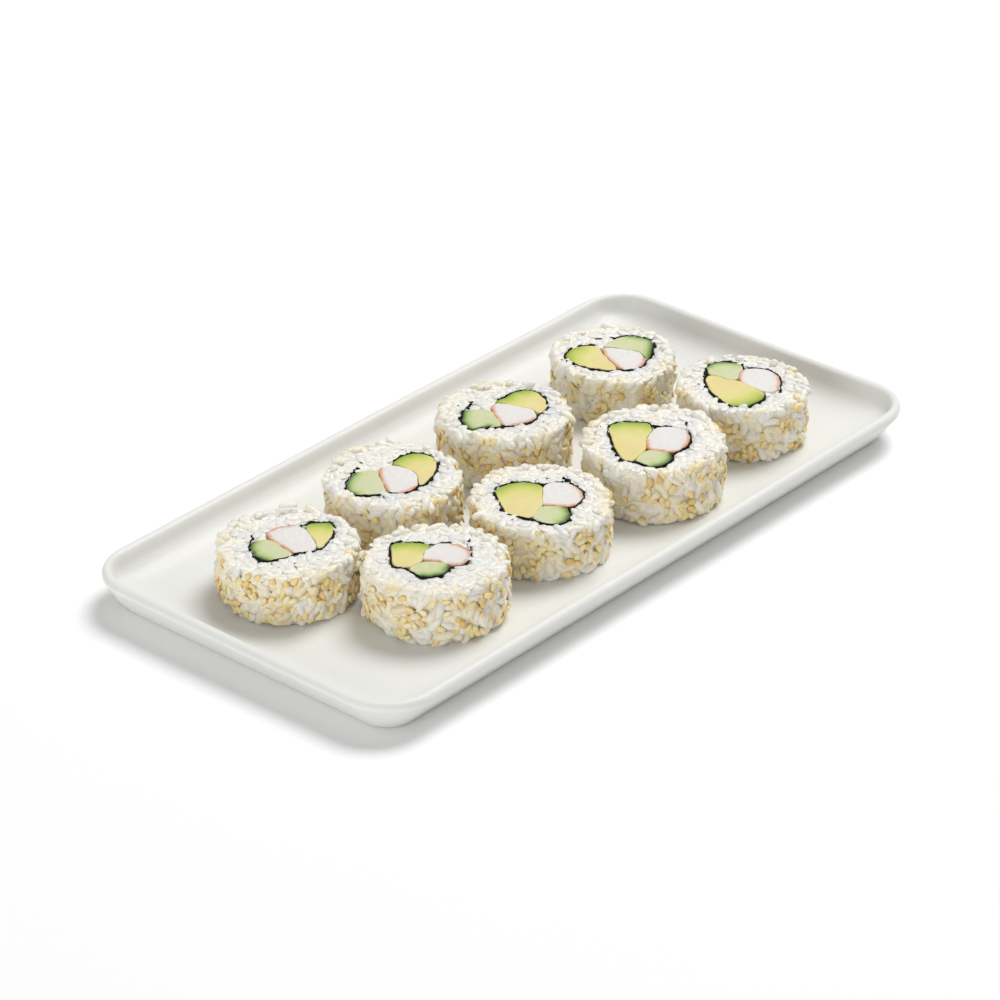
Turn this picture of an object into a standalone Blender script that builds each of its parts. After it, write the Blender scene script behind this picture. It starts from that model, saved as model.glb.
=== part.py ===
# Eight inside-out sushi rolls in two rows on a long white plate.
# Metres, +Z up. The origin is on the table, under the middle of the plate, and the plate is long in X.
import math
import random

import bmesh
import bpy
from mathutils import Matrix, Vector
from mathutils.geometry import intersect_point_line, tessellate_polygon

for old in list(bpy.data.objects):
    bpy.data.objects.remove(old, do_unlink=True)

MM = 0.001

# plate
PLATE_LENGTH = 250.0 * MM
PLATE_WIDTH = 125.8 * MM
PLATE_CORNER = 18.0 * MM
CORNER_TIGHTENING = 1.5  # how fast the corner radius shrinks with the distance from the rim
CORNER_SMALLEST = 9.0 * MM
FOOT_INSET = 7.4 * MM
FOOT_EDGE = 0.9 * MM
LIP_RADIUS = 1.95 * MM
LIP_CENTRE = 10.6 * MM
GROOVE_DEPTH = 0.5 * MM
FLOOR_TOP = 4.0 * MM
BOWL_RUN = 13.0 * MM  # from the lip's inner side to the flat floor
RIM_RISE = 0.22 * MM
RIM_SWAY = 0.30 * MM

# rolls
GAP = 0.3 * MM  # between pieces that touch
ROLL_TURN = math.radians(-49.0)  # the rolls' own axes on the plate
NORI_THICKNESS = 0.6 * MM
NORI_STEPS = 34
TAIL_STEPS = 4
RICE_STEPS = 36
RICE_UNEVEN = 0.55 * MM
TONGUE_ROOM = 1.0 * MM  # least room for rice between the seaweed's loose end and the fillings
WRAP_SLACK = 0.08 * MM
WRAP_FROM = 20.0 * MM
WRAP_STEP = 0.1 * MM
RUN_TESTS = 5
STEEPEST = 1.1  # how fast the wrap may dip between two fillings
TONGUE_TURN = math.radians(9)
CUT_EDGE = 1.1 * MM  # how far the rice rounds over at its two cut faces
CORNER_CUT = 1.0 * MM  # rounding of the fillings' corners

# Outlines are in millimetres from the roll's centre, along the roll's own two axes.
# The seaweed starts against the fillings at the angle "start", in degrees, runs round them the way
# "hand" says, leaves them at the angle "leave" and ends inside the rice at "tail".
# "lean" is how far the upper cut face rises at the roll's edge, along each of its axes.
ROLLS = [
    {
        "place": (-62.2, -23.5), "radius": 21.6, "height": 17.7, "lean": (0.6, -0.4),
        "avocado": [(-12.8, 9.6), (-12.4, -3.2), (-8.2, -4.8), (-4.2, -1.2), (-3.7, 4.5),
                    (-1.4, 7.4), (-5.0, 9.4)],
        "crab": [(-3.3, -0.5), (1.6, -1.7), (4.6, -4.0), (8.0, -3.8), (10.0, 0.5), (9.8, 4.2),
                 (5.6, 8.4), (0.4, 8.7), (-3.1, 4.4)],
        "cucumber": [(-7.8, -5.6), (-3.2, -10.8), (2.6, -9.2), (4.0, -4.8), (1.2, -2.3),
                     (-3.9, -1.9)],
        "start": 58, "leave": 12, "tail": (9.9, 11.4), "hand": 1,
    },
    {
        "place": (-14.2, -23.1), "radius": 21.4, "height": 17.4, "lean": (-0.5, 0.3),
        "avocado": [(-13.8, 4.3), (-10.2, -9.5), (-3.2, -11.8), (0.0, -4.2), (0.3, 7.4),
                    (-4.5, 9.3), (-9.5, 7.8)],
        "crab": [(0.7, -4.0), (9.6, -4.8), (12.3, 0.5), (12.2, 4.2), (9.7, 7.8), (6.6, 9.1),
                 (3.4, 9.2), (1.0, 7.2)],
        "cucumber": [(0.3, -4.9), (-2.7, -12.1), (2.0, -15.0), (6.5, -14.4), (8.3, -10.0),
                     (7.6, -5.3)],
        "start": 66, "leave": 30, "tail": (6.9, 13.0), "hand": 1,
    },
    {
        "place": (34.4, -27.2), "radius": 21.8, "height": 19.2, "lean": (0.5, 0.5),
        "avocado": [(-13.6, 7.0), (-11.8, -6.0), (-9.9, -12.2), (-7.4, -14.0), (-2.9, -6.6),
                    (-2.8, 0.0), (-0.7, 5.2), (-1.2, 9.2), (-9.0, 10.2), (-12.2, 9.3)],
        "crab": [(-2.4, -6.2), (5.4, -8.9), (9.5, -5.0), (10.9, 0.0), (9.9, 3.7), (7.2, 6.2),
                 (3.0, 6.7), (0.4, 5.8), (-2.2, -0.6)],
        "cucumber": [(-6.2, -12.9), (-1.0, -17.2), (1.6, -16.4), (4.8, -13.0), (4.4, -9.2),
                     (-2.2, -7.2)],
        "start": 58, "leave": 14, "tail": (10.0, 9.4), "hand": 1,
    },
    {
        "place": (82.0, -24.1), "radius": 20.6, "height": 17.9, "lean": (-0.4, -0.3),
        "avocado": [(-11.5, 2.5), (-9.8, -5.5), (-5.0, -14.3), (-0.6, -15.8), (1.7, -13.8),
                    (5.6, -10.4), (6.4, -6.4), (2.0, -1.2), (-1.2, 1.9), (-4.7, 2.2), (-7.2, 4.7),
                    (-9.8, 5.2)],
        "crab": [(-0.7, 2.8), (3.2, -1.9), (7.2, -5.4), (10.6, -4.2), (11.8, 1.0), (11.4, 6.0),
                 (8.0, 9.8), (3.6, 10.2), (0.9, 9.4), (-0.4, 7.0)],
        "cucumber": [(-10.2, 6.2), (-7.0, 5.4), (-4.6, 2.9), (-1.5, 2.9), (-0.9, 7.0), (0.3, 9.8),
                     (0.2, 12.6), (-1.0, 13.8), (-5.0, 14.4), (-9.0, 13.3), (-10.3, 10.5)],
        "start": -52, "leave": 4, "tail": (11.9, -6.2), "hand": -1,
    },
    {
        "place": (-82.9, 16.2), "radius": 21.0, "height": 17.0, "lean": (0.4, 0.6),
        "avocado": [(5.4, 10.2), (5.6, 6.8), (8.2, 1.0), (8.9, -3.3), (10.0, -3.0), (12.4, 3.0),
                    (13.0, 7.5), (12.3, 10.7)],
        "crab": [(-5.8, 2.8), (1.6, -5.6), (8.1, -4.2), (8.2, -1.2), (5.1, 6.6), (3.0, 8.8),
                 (0.3, 9.3), (-3.0, 8.7), (-6.0, 6.4)],
        "cucumber": [(-10.3, 0.5), (-10.8, -2.6), (-8.6, -8.0), (-5.4, -9.6), (1.2, -7.2),
                     (1.2, -5.9), (-5.6, 1.9), (-8.0, 1.2)],
        "start": 74, "leave": 186, "tail": (-10.4, 5.6), "hand": -1,
    },
    {
        "place": (-34.4, 18.0), "radius": 20.9, "height": 18.9, "lean": (-0.6, 0.2),
        "avocado": [(-0.6, 6.6), (1.6, 5.8), (5.6, 3.1), (7.3, 0.6), (7.6, -5.4), (8.8, -5.6),
                    (11.7, 1.0), (12.5, 6.0), (12.3, 9.6), (10.8, 11.9), (6.4, 13.4),
                    (2.5, 11.5)],
        "crab": [(-4.3, 2.8), (-3.9, -1.2), (-1.6, -10.2), (2.0, -10.8), (4.6, -9.8), (7.0, -6.3),
                 (6.8, 0.2), (5.0, 2.8), (1.0, 5.2), (-2.8, 5.0)],
        "cucumber": [(-11.7, 0.5), (-13.6, -5.0), (-13.6, -10.0), (-12.2, -12.4), (-3.6, -11.7),
                     (-2.2, -10.4), (-4.8, -0.6), (-5.2, 2.1), (-8.0, 1.6)],
        "start": 96, "leave": 188, "tail": (-10.2, 7.2), "hand": -1,
    },
    {
        "place": (18.4, 19.5), "radius": 20.9, "height": 18.9, "lean": (0.3, -0.6),
        "avocado": [(-2.6, 6.3), (-2.4, 5.3), (0.2, 5.0), (8.9, 0.8), (10.6, -2.5), (12.7, 1.5),
                    (12.5, 6.5), (10.2, 11.9), (6.5, 13.9), (3.0, 12.1), (0.2, 8.4)],
        "crab": [(-3.8, 2.0), (-3.0, -3.2), (-0.8, -9.0), (1.0, -10.6), (4.2, -9.4), (8.8, -7.0),
                 (9.7, -3.0), (8.4, 0.4), (0.0, 4.4), (-3.2, 4.7)],
        "cucumber": [(-12.4, -0.4), (-12.9, -6.8), (-10.8, -13.0), (-7.8, -10.2), (-1.8, -11.0),
                     (-1.2, -9.2), (-3.4, -3.4), (-4.4, 0.3), (-10.6, 0.5)],
        "start": 108, "leave": 184, "tail": (-10.2, 6.4), "hand": -1,
    },
    {
        "place": (73.4, 21.4), "radius": 20.0, "height": 16.4, "lean": (-0.3, 0.5),
        "avocado": [(-15.3, -2.8), (-12.0, -6.6), (-8.0, -9.2), (-2.0, -10.8), (0.8, -10.5),
                    (0.2, -7.8), (-3.2, -1.5), (-4.0, 2.0), (-5.4, 4.6), (-9.0, 4.4),
                    (-13.0, 2.6)],
        "crab": [(-3.2, 2.9), (-2.4, -1.6), (1.9, -9.9), (4.5, -10.2), (8.0, -9.0), (9.8, -6.0),
                 (9.6, -1.5), (7.6, 1.2), (-0.5, 3.4)],
        "cucumber": [(-3.4, 4.4), (0.0, 4.2), (8.4, 1.7), (10.2, -2.2), (11.2, -3.6), (12.3, 3.0),
                     (12.7, 8.5), (6.5, 11.6), (2.2, 10.2), (-0.4, 7.3)],
        "start": 140, "leave": 84, "tail": (-5.6, 9.6), "hand": 1,
    },
]


def material(name, colour, roughness):
    made = bpy.data.materials.new(name)
    made.use_nodes = True
    shader = made.node_tree.nodes["Principled BSDF"]
    shader.inputs["Base Color"].default_value = (*colour, 1.0)
    shader.inputs["Roughness"].default_value = roughness
    shader.inputs["Metallic"].default_value = 0.0
    made.diffuse_color = (*colour, 1.0)
    return made


def add_object(name, points, faces, look, smooth_angle):
    mesh = bpy.data.meshes.new(name)
    mesh.from_pydata(points, [], faces)
    shape = bmesh.new()
    shape.from_mesh(mesh)
    bmesh.ops.recalc_face_normals(shape, faces=shape.faces)
    shape.to_mesh(mesh)
    shape.free()
    mesh.materials.append(look)
    mesh.shade_smooth()
    mesh.set_sharp_from_angle(angle=math.radians(smooth_angle))
    made = bpy.data.objects.new(name, mesh)
    bpy.context.collection.objects.link(made)
    return made


# ---- plate ----

def rounded_rectangle(inset):
    """One closed loop of the plate's outline, moved inwards by inset."""
    radius = max(PLATE_CORNER - CORNER_TIGHTENING * inset, CORNER_SMALLEST)
    middle_x = PLATE_LENGTH / 2 - inset - radius
    middle_y = PLATE_WIDTH / 2 - inset - radius
    loop = []
    corners = [(1, -1, -90, 3), (1, 1, 0, 7), (-1, 1, 90, 3), (-1, -1, 180, 7)]
    for side_x, side_y, first_angle, side_steps in corners:
        for step in range(6):
            angle = math.radians(first_angle + 90 * step / 5)
            loop.append(Vector((
                side_x * middle_x + radius * math.cos(angle),
                side_y * middle_y + radius * math.sin(angle),
            )))
        turn = math.radians(first_angle + 90)
        start = loop[-1]
        along = Vector((-math.sin(turn), math.cos(turn)))
        length = 2 * (middle_y if side_steps == 3 else middle_x)
        for step in range(1, side_steps + 1):
            loop.append(start + along * length * step / (side_steps + 1))
    return loop


def plate_profile():
    """Pairs of inset and height, from the foot up the outside, over the lip and down to the floor."""
    profile = [(FOOT_INSET + FOOT_EDGE, 0.0), (FOOT_INSET - 0.2 * MM, 0.4 * MM)]
    profile.append((FOOT_INSET - 1.3 * MM, 2.0 * MM))
    profile.append((LIP_RADIUS * 0.75, LIP_CENTRE - LIP_RADIUS))
    profile.append((GROOVE_DEPTH + 0.2 * MM, LIP_CENTRE - LIP_RADIUS * 0.75))
    for degrees in (190, 150, 110, 70, 30):
        angle = math.radians(degrees)
        height = LIP_CENTRE + LIP_RADIUS * math.sin(angle)
        profile.append((LIP_RADIUS + LIP_RADIUS * math.cos(angle), height))
    bowl_start = 2 * LIP_RADIUS + 0.4 * MM
    for degrees in (5, 28, 50, 70):
        angle = math.radians(degrees)
        inset = bowl_start + BOWL_RUN * (1 - math.cos(angle))
        profile.append((inset, LIP_CENTRE - (LIP_CENTRE - FLOOR_TOP) * math.sin(angle)))
    profile.append((bowl_start + BOWL_RUN, FLOOR_TOP))
    return profile


def make_plate(look):
    profile = plate_profile()
    top = LIP_CENTRE + LIP_RADIUS
    points = []
    for inset, height in profile:
        loop = rounded_rectangle(inset)
        waviness = 0.0 if height == FLOOR_TOP else (height / top) ** 2
        for index, spot in enumerate(loop):
            way = 2 * math.pi * index / len(loop)
            rise = RIM_RISE * (math.sin(2 * way + 0.6) + 0.7 * math.sin(5 * way + 2.1))
            sway = RIM_SWAY * (math.sin(3 * way + 1.0) + 0.6 * math.sin(7 * way))
            outward = spot.normalized() * sway * waviness
            points.append((spot.x + outward.x, spot.y + outward.y, height + rise * waviness))
    count = len(points) // len(profile)
    faces = [list(range(count)), list(range(len(points) - count, len(points)))]
    for lower in range(0, len(points) - count, count):
        for index in range(count):
            following = (index + 1) % count
            upper = lower + count
            faces.append((lower + index, lower + following, upper + following, upper + index))
    return add_object("plate", points, faces, look, 40)


# ---- outlines of the fillings, the seaweed and the rice ----

def to_metres(outline):
    return [Vector(spot) * MM for spot in outline]


def trim_corners(outline):
    """Replaces each corner by two points, so that the outline turns softly."""
    trimmed = []
    for index, corner in enumerate(outline):
        before = outline[index - 1] - corner
        after = outline[(index + 1) % len(outline)] - corner
        turn = math.degrees(before.angle(after, 0.0))
        if turn > 150:
            trimmed.append(corner)
            continue
        for edge in (before, after):
            trimmed.append(corner + edge.normalized() * min(CORNER_CUT, edge.length * 0.3))
    return trimmed


def distance_to_stretch(spot, first, second):
    on_line, share = intersect_point_line(spot, first, second)
    if share < 0:
        return (spot - first).length
    if share > 1:
        return (spot - second).length
    return (spot - on_line.to_2d()).length


def distance_to_outline(spot, outline):
    stretches = zip(outline, outline[1:] + outline[:1])
    return min(distance_to_stretch(spot, start, end) for start, end in stretches)


def distance_to_fillings(spot, outlines):
    return min(distance_to_outline(spot, outline) for outline in outlines)


def run_distance(first, second, outlines):
    """Least distance between the straight run first-second and the fillings."""
    shares = [step / RUN_TESTS for step in range(RUN_TESTS + 1)]
    return min(distance_to_fillings(first.lerp(second, share), outlines) for share in shares)


def direction(angle):
    return Vector((math.cos(angle), math.sin(angle)))


def wrap_reach(centre, angle, outlines, clearance):
    """How far out from the centre a wrap lies that keeps the clearance to every filling."""
    reach = WRAP_FROM
    while distance_to_fillings(centre + direction(angle) * reach, outlines) > clearance:
        reach -= WRAP_STEP
    return reach + WRAP_STEP


def wrap_points(centre, angles, outlines, clearance):
    """Points round the fillings whose straight runs all keep the clearance."""
    reaches = [wrap_reach(centre, angle, outlines, clearance) for angle in angles]
    for sweep in (range(1, len(angles)), range(len(angles) - 2, -1, -1)):
        for index in sweep:
            other = index - sweep.step
            fall = STEEPEST * abs(angles[index] - angles[other]) * reaches[other]
            reaches[index] = max(reaches[index], reaches[other] - fall)
    for _ in range(12):
        spots = [centre + direction(angle) * reach for angle, reach in zip(angles, reaches)]
        for index in range(len(angles) - 1):
            if run_distance(spots[index], spots[index + 1], outlines) < clearance:
                reaches[index] += WRAP_STEP / 2
                reaches[index + 1] += WRAP_STEP / 2
    return [centre + direction(angle) * reach for angle, reach in zip(angles, reaches)]


def side_of_run(run, distance):
    """The run moved sideways by distance, to its left where that is positive."""
    moved = []
    for index, spot in enumerate(run):
        before = run[max(index - 1, 0)]
        after = run[min(index + 1, len(run) - 1)]
        first = (spot - before).normalized()
        second = (after - spot).normalized()
        along = (first + second).normalized()
        across = Vector((-along.y, along.x))
        stretch = 1.0
        if 0 < index < len(run) - 1:
            stretch = 1 / max(math.cos(first.angle(second, 0.0) / 2), 0.7)
        moved.append(spot + across * distance * stretch)
    return moved


def signed_distance(spot, run):
    """Distance to the nearest stretch of the run, positive on its left."""
    stretches = [(run[index], run[index + 1]) for index in range(len(run) - 1)]
    first, second = min(stretches, key=lambda ends: distance_to_stretch(spot, *ends))
    along = second - first
    left = (spot - first).dot(Vector((-along.y, along.x))) > 0
    distance = distance_to_stretch(spot, first, second)
    return distance if left else -distance


def seaweed_run(roll, centre, outlines):
    """Middle line of the seaweed: round the fillings, then off into the rice."""
    start = math.radians(roll["start"])
    turn = math.radians((roll["leave"] - roll["start"]) * roll["hand"] % 360) * roll["hand"]
    angles = [start + turn * step / NORI_STEPS for step in range(NORI_STEPS + 1)]
    clearance = GAP + NORI_THICKNESS / 2 + WRAP_SLACK
    run = wrap_points(centre, angles, outlines, clearance)
    leaving = run[-1]
    tail = Vector(roll["tail"]) * MM
    for step in range(1, TAIL_STEPS + 1):
        spot = leaving.lerp(tail, step / TAIL_STEPS)
        outward = (spot - centre).normalized()
        while distance_to_fillings(spot, outlines) < clearance:
            spot += outward * WRAP_STEP / 2
        run.append(spot)
    return run


def rice_tongue(roll, centre, outlines, run):
    """Edge of the rice that lies bare against the fillings, between the two ends of the seaweed."""
    hand = roll["hand"]
    start = math.radians(roll["start"])
    bare = math.radians((roll["start"] - roll["leave"]) * hand % 360)
    steps = max(4, round(bare / TONGUE_TURN))
    angles = [start + hand * bare * (step / steps - 1) for step in range(steps + 1)]
    room = NORI_THICKNESS / 2 + GAP
    loose_end = run[-TAIL_STEPS - 3:]
    edge = []
    for spot in wrap_points(centre, angles, outlines, GAP + WRAP_SLACK / 2):
        past_start = distance_to_stretch(spot, run[0], run[1]) > room
        if past_start and hand * signed_distance(spot, loose_end) > room:
            edge.append(spot)
    return edge


def rice_hole(roll, centre, outlines, run):
    """The hole in the rice: round the outside of the seaweed, round its loose end and back in."""
    room = NORI_THICKNESS / 2 + GAP
    outside = side_of_run(run, -roll["hand"] * room)
    inside = side_of_run(run, roll["hand"] * room)
    before_start = (run[0] - run[1]).normalized() * GAP
    past_tip = (run[-1] - run[-2]).normalized() * GAP
    hole = [outside[0] + before_start]
    hole += outside[1:-1]
    hole += [outside[-1] + past_tip, inside[-1] + past_tip]
    for spot in reversed(inside[-TAIL_STEPS:]):
        if distance_to_fillings(spot, outlines) > TONGUE_ROOM:
            hole.append(spot)
    return hole + rice_tongue(roll, centre, outlines, run)


def plan_roll(roll):
    """The plan of one roll: three fillings, the seaweed strip and the hole in the rice."""
    fillings = {name: trim_corners(to_metres(roll[name])) for name in ("avocado", "crab", "cucumber")}
    outlines = list(fillings.values())
    corners = [spot for outline in outlines for spot in outline]
    centre = sum(corners, Vector((0.0, 0.0))) / len(corners)
    run = seaweed_run(roll, centre, outlines)
    half = NORI_THICKNESS / 2
    strip = side_of_run(run, half) + side_of_run(run, -half)[::-1]
    return fillings, strip, rice_hole(roll, centre, outlines, run)


# ---- solids of one roll ----

def place_in_roll(roll, spot, height):
    """From the roll's plan to the plate's frame, resting on the plate's floor."""
    lean_x, lean_y = roll["lean"]
    share = height / (roll["height"] * MM)
    lean = share * (lean_x * spot.x + lean_y * spot.y) / roll["radius"]
    turned = Matrix.Rotation(ROLL_TURN, 2) @ spot
    return (
        roll["place"][0] * MM + turned.x,
        roll["place"][1] * MM + turned.y,
        FLOOR_TOP + GAP + height + lean,
    )


def make_prism(name, roll, outline, bottom, top, look):
    count = len(outline)
    points = [place_in_roll(roll, spot, bottom) for spot in outline]
    points += [place_in_roll(roll, spot, top) for spot in outline]
    faces = []
    for index in range(count):
        following = (index + 1) % count
        faces.append((index, following, count + following, count + index))
    flat = [spot.to_3d() for spot in outline]
    for triangle in tessellate_polygon([flat]):
        faces.append(triangle)
        faces.append(tuple(count + corner for corner in reversed(triangle)))
    return add_object(name, points, faces, look, 35)


def rice_outline(roll, dice):
    """Uneven round outline of the rice."""
    waves = [(turns, dice.uniform(0, 2 * math.pi), dice.uniform(0.3, 1.0) / turns) for turns in (2, 3, 5)]
    loop = []
    for step in range(RICE_STEPS):
        angle = 2 * math.pi * step / RICE_STEPS
        wave = sum(size * math.sin(turns * angle + shift) for turns, shift, size in waves)
        grain = dice.uniform(-0.45, 0.45)
        loop.append(direction(angle) * (roll["radius"] * MM + RICE_UNEVEN * (wave + grain)))
    return loop


def rice_levels(height):
    """Pairs of inset and height up the outside of the rice."""
    return [
        (CUT_EDGE, 0.0),
        (0.1 * MM, 0.13 * height),
        (-0.25 * MM, 0.5 * height),
        (0.15 * MM, 0.87 * height),
        (CUT_EDGE * 0.9, height),
    ]


def shrink(loop, inset):
    return [spot - spot.normalized() * inset for spot in loop]


def make_rice(name, roll, hole, look, dice):
    height = roll["height"] * MM
    loop = rice_outline(roll, dice)
    levels = rice_levels(height)
    rings = [(shrink(loop, inset), level) for inset, level in levels]
    rings += [(hole, 0.0), (hole, height)]
    points = []
    starts = []
    for ring, level in rings:
        starts.append(len(points))
        points += [place_in_roll(roll, spot, level) for spot in ring]
    faces = []
    walls = [(starts[index], starts[index + 1], len(loop)) for index in range(len(levels) - 1)]
    walls.append((starts[-1], starts[-2], len(hole)))
    for lower, upper, count in walls:
        for index in range(count):
            following = (index + 1) % count
            faces.append((lower + index, lower + following, upper + following, upper + index))
    for outer, inner in ((0, len(levels)), (len(levels) - 1, len(levels) + 1)):
        flat = [[spot.to_3d() for spot in rings[ring][0]] for ring in (outer, inner)]
        shift = starts[inner] - len(loop)
        for triangle in tessellate_polygon(flat):
            faces.append([
                starts[outer] + corner if corner < len(loop) else shift + corner for corner in triangle
            ])
    return add_object(name, points, faces, look, 50)


def make_roll(number, roll, looks):
    dice = random.Random(40 + number)
    fillings, strip, hole = plan_roll(roll)
    height = roll["height"] * MM
    prefix = "roll_%d_" % number
    make_rice(prefix + "rice", roll, hole, looks["rice"], dice)
    make_prism(prefix + "nori", roll, strip, 0.0, height - 0.1 * MM, looks["nori"])
    for name, outline in fillings.items():
        top = height + dice.uniform(-0.2, 0.4) * MM
        make_prism(prefix + name, roll, outline, 0.0, top, looks[name])


looks = {
    "plate": material("white_glaze", (0.86, 0.86, 0.83), 0.12),
    "rice": material("cooked_rice", (0.86, 0.84, 0.78), 0.5),
    "nori": material("seaweed", (0.012, 0.018, 0.012), 0.45),
    "avocado": material("avocado_flesh", (0.80, 0.72, 0.28), 0.5),
    "crab": material("crab_stick", (0.90, 0.84, 0.82), 0.45),
    "cucumber": material("cucumber_flesh", (0.62, 0.74, 0.40), 0.35),
}

make_plate(looks["plate"])
for number, roll in enumerate(ROLLS, start=1):
    make_roll(number, roll, looks)
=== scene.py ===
import math

import bpy
import numpy as np
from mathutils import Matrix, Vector


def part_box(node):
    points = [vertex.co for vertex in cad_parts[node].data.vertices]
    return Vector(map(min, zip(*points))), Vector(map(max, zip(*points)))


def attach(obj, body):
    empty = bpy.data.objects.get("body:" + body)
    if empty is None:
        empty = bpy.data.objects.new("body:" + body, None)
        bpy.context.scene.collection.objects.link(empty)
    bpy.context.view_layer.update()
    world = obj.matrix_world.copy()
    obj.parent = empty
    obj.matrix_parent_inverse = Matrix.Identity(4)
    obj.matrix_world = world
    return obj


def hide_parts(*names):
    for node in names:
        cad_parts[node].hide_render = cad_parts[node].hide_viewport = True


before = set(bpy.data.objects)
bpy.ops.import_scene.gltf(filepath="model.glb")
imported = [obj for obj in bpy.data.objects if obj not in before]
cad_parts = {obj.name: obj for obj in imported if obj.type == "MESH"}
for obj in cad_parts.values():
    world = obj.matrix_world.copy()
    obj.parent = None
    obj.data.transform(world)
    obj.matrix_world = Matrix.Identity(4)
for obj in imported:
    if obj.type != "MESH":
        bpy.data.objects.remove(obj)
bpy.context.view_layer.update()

mm = 0.001
tau = 2 * math.pi
rollCount = 8
rollTurn = math.radians(-49.0)  # angles on the cut faces are counted from an axis turned this far

# what differs from roll to roll. In degrees on the cut face: where each filling shows its skin, where
# the sesame is thinnest, and where one stray grain lies. As a number: how many seeds it has
rollLooks = {
    1: {"avocado": 92, "cucumber": -48, "crab": (40, -15, -80), "seeds": 145, "bare": 120},
    2: {"avocado": 108, "cucumber": -8, "crab": (20, -80), "seeds": 149, "bare": 150},
    3: {"avocado": 80, "cucumber": -30, "crab": (200, -80, -10), "seeds": 145, "bare": 200,
        "settle": 0.1 * mm},  # the plate's wall begins to rise under this roll
    4: {"avocado": -62, "cucumber": 100, "crab": (170, 10), "seeds": 128, "bare": 110},
    5: {"avocado": 78, "cucumber": 200, "crab": (205, 120), "seeds": 186, "bare": 150,
        "strayGrain": 92},
    6: {"avocado": 122, "cucumber": 196, "crab": (190, -50), "seeds": 168, "bare": 120},
    7: {"avocado": 130, "cucumber": 200, "crab": (190, -50), "seeds": 161, "bare": 220},
    8: {"avocado": 165, "cucumber": 35, "crab": (205, -20), "seeds": 109, "bare": 210},
}


# the points of a mesh as rows of x, y and z
def pointsOf(mesh):
    points = np.empty(len(mesh.vertices) * 3)
    mesh.vertices.foreach_get("co", points)
    return points.reshape(-1, 3)


# closed loops read off a node: the free edges of its flat underside, followed from point to point.
# Points closer than snap are one point, and an edge is free when no triangle runs along it backwards
def undersideLoops(nodeName):
    snap = 0.002 * mm
    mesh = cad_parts[nodeName].data
    places = np.round(pointsOf(mesh) / snap).astype(int)
    spots, merged = np.unique(places, axis=0, return_inverse=True)
    corners = np.empty(len(mesh.loops), np.int32)
    mesh.loops.foreach_get("vertex_index", corners)
    triangles = merged.reshape(-1)[corners].reshape(-1, 3)
    spots = spots * snap
    low = spots[:, 2].min() + 0.05 * mm
    flat = triangles[(spots[triangles][:, :, 2] < low).all(axis=1)]
    edges = set()
    for a, b, c in flat.tolist():
        edges.update(((a, b), (b, c), (c, a)))
    following = {a: b for a, b in edges if (b, a) not in edges}
    loops = []
    while following:
        start, here = following.popitem()
        loop = [start]
        while here != start:
            loop.append(here)
            here = following.pop(here)
        loops.append(spots[loop][:, :2])
    return sorted(loops, key=lambda loop: -np.ptp(loop[:, 0]))


# plane through a node's points in the top fifth of its height, as height = a + b x + c y
def upperPlane(nodeName):
    low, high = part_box(nodeName)
    points = pointsOf(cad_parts[nodeName].data)
    upper = points[points[:, 2] > low.z + 0.8 * (high.z - low.z)]
    table = np.column_stack((np.ones(len(upper)), upper[:, :2]))
    return np.linalg.lstsq(table, upper[:, 2], rcond=None)[0]


# height of that plane over a place: a + b x + c y
def planeHeight(plane, x, y):
    return plane[0] + plane[1] * x + plane[2] * y


# loop read again at equal steps along its length
def evenLoop(loop, count):
    closed = np.vstack((loop, loop[:1]))
    way = np.concatenate(([0], np.cumsum(np.linalg.norm(np.diff(closed, axis=0), axis=1))))
    steps = np.linspace(0, way[-1], count, endpoint=False)
    return np.column_stack((np.interp(steps, way, closed[:, 0]), np.interp(steps, way, closed[:, 1])))


# each point moved halfway to the mean of its two neighbours, several times over
def softLoop(loop, passes):
    for _ in range(passes):
        loop = 0.5 * loop + 0.25 * (np.roll(loop, 1, axis=0) + np.roll(loop, -1, axis=0))
    return loop


# loop turned round if the area inside it, summed corner by corner, comes out negative
def counterClockwise(loop):
    following = np.roll(loop, -1, axis=0)
    area = (loop[:, 0] * following[:, 1] - loop[:, 1] * following[:, 0]).sum()
    return loop if area > 0 else loop[::-1]


# distance in any direction, read straight between the distances known at some angles
def reachBetween(angles, distances):
    return lambda asked: np.interp(np.mod(asked, tau), angles, distances, period=tau)


# distance from the middle to the loop in any direction
def reachOf(loop, middle):
    away = loop - middle
    angles = np.mod(np.arctan2(away[:, 1], away[:, 0]), tau)
    order = np.argsort(angles)
    return reachBetween(angles[order], np.linalg.norm(away, axis=1)[order])


# smooth unevenness, seldom beyond -1 and 1: sines of plane waves in random directions, added up and
# divided by the root of their number. The size is the middling wave length
def waves(points, size, seed, count=14):
    dice = np.random.default_rng(seed)
    directions = dice.normal(size=(count, points.shape[-1]))
    directions /= np.linalg.norm(directions, axis=1)[:, None]
    lengths = size * dice.uniform(0.7, 1.5, count)
    phases = dice.uniform(0, tau, count)
    turns = points @ (directions / lengths[:, None]).T * tau + phases
    return np.sin(turns).sum(axis=-1) * math.sqrt(2 / count) * 0.6


# 0 below low, 1 above high, and s squared times (3 - 2 s) at the share s of the way between
def ramp(value, low, high):
    share = np.clip((value - low) / (high - low), 0, 1)
    return share * share * (3 - 2 * share)


# mesh put in as whole arrays: places of the points, corners of the faces, corners in each face
def meshFromArrays(name, vertices, corners, sizes):
    mesh = bpy.data.meshes.new(name)
    mesh.vertices.add(len(vertices))
    mesh.vertices.foreach_set("co", np.asarray(vertices, np.float32).reshape(-1))
    mesh.loops.add(len(corners))
    mesh.loops.foreach_set("vertex_index", np.asarray(corners, np.int32))
    mesh.polygons.add(len(sizes))
    starts = np.concatenate(([0], np.cumsum(sizes)[:-1]))
    mesh.polygons.foreach_set("loop_start", starts.astype(np.int32))
    mesh.update(calc_edges=True)
    mesh.validate()
    return mesh


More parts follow.
